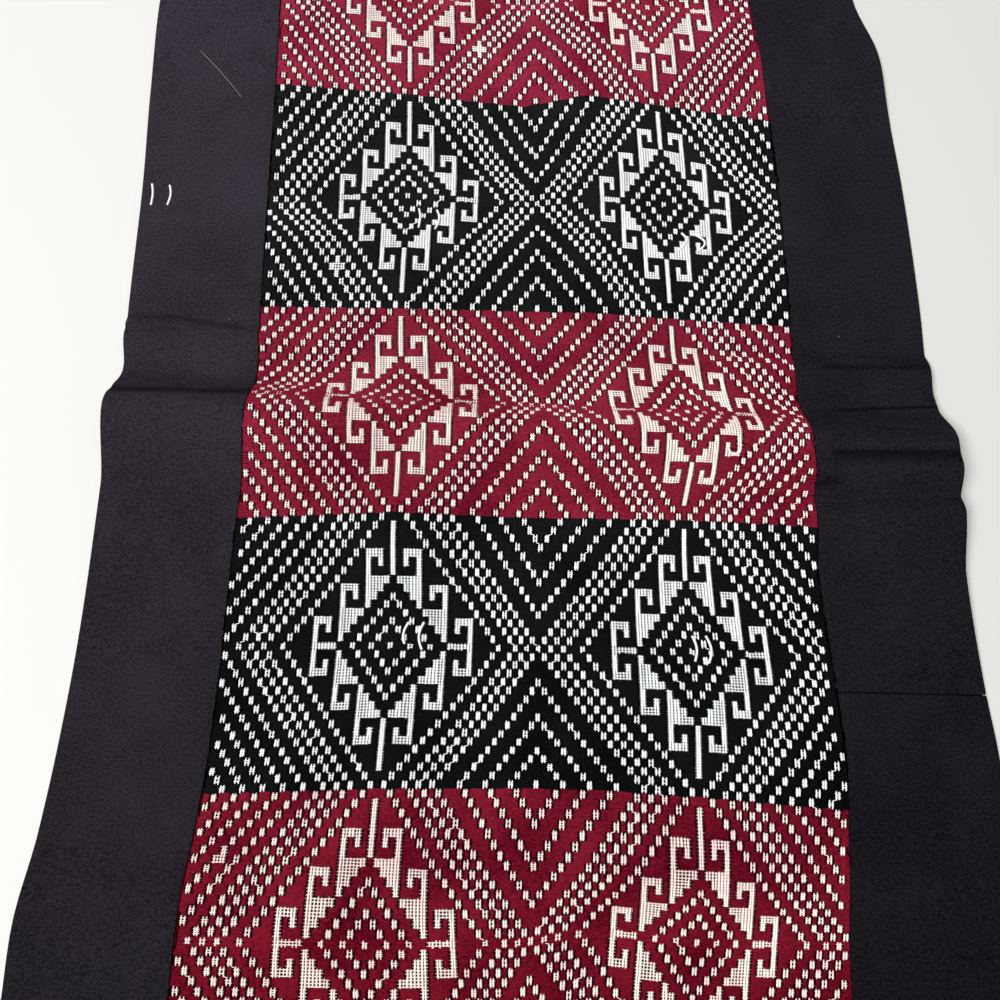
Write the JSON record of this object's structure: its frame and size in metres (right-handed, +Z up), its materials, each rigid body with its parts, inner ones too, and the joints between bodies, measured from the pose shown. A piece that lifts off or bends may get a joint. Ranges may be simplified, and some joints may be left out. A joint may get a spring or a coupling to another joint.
{
  "type": "woven wall hanging laid out in its folds",
  "caption": "Rectangular brocade panel in wide colour bands with white diamond figures, plain dark side borders and a lining, lying in soft cross folds.",
  "frame": {"origin": "centre of the rectangle round the laid cloth, on the surface it lies on", "axes": "+X across the cloth to the right, +Y along it to its far end, +Z up off the surface"},
  "size_m": [0.4834, 0.7314, 0.0237],
  "materials": {
    "brocade": "ribbed brocade, matt, crimson and black bands with white cotton figures",
    "border": "plain charcoal cotton, matt",
    "lining": "plain black cotton, matt"
  },
  "bodies": {
    "root": {"lining": "lining", "woven_panel": "brocade", "border_left": "border", "border_right_far": "border", "border_right_near": "border"}
  },
  "joints": []
}
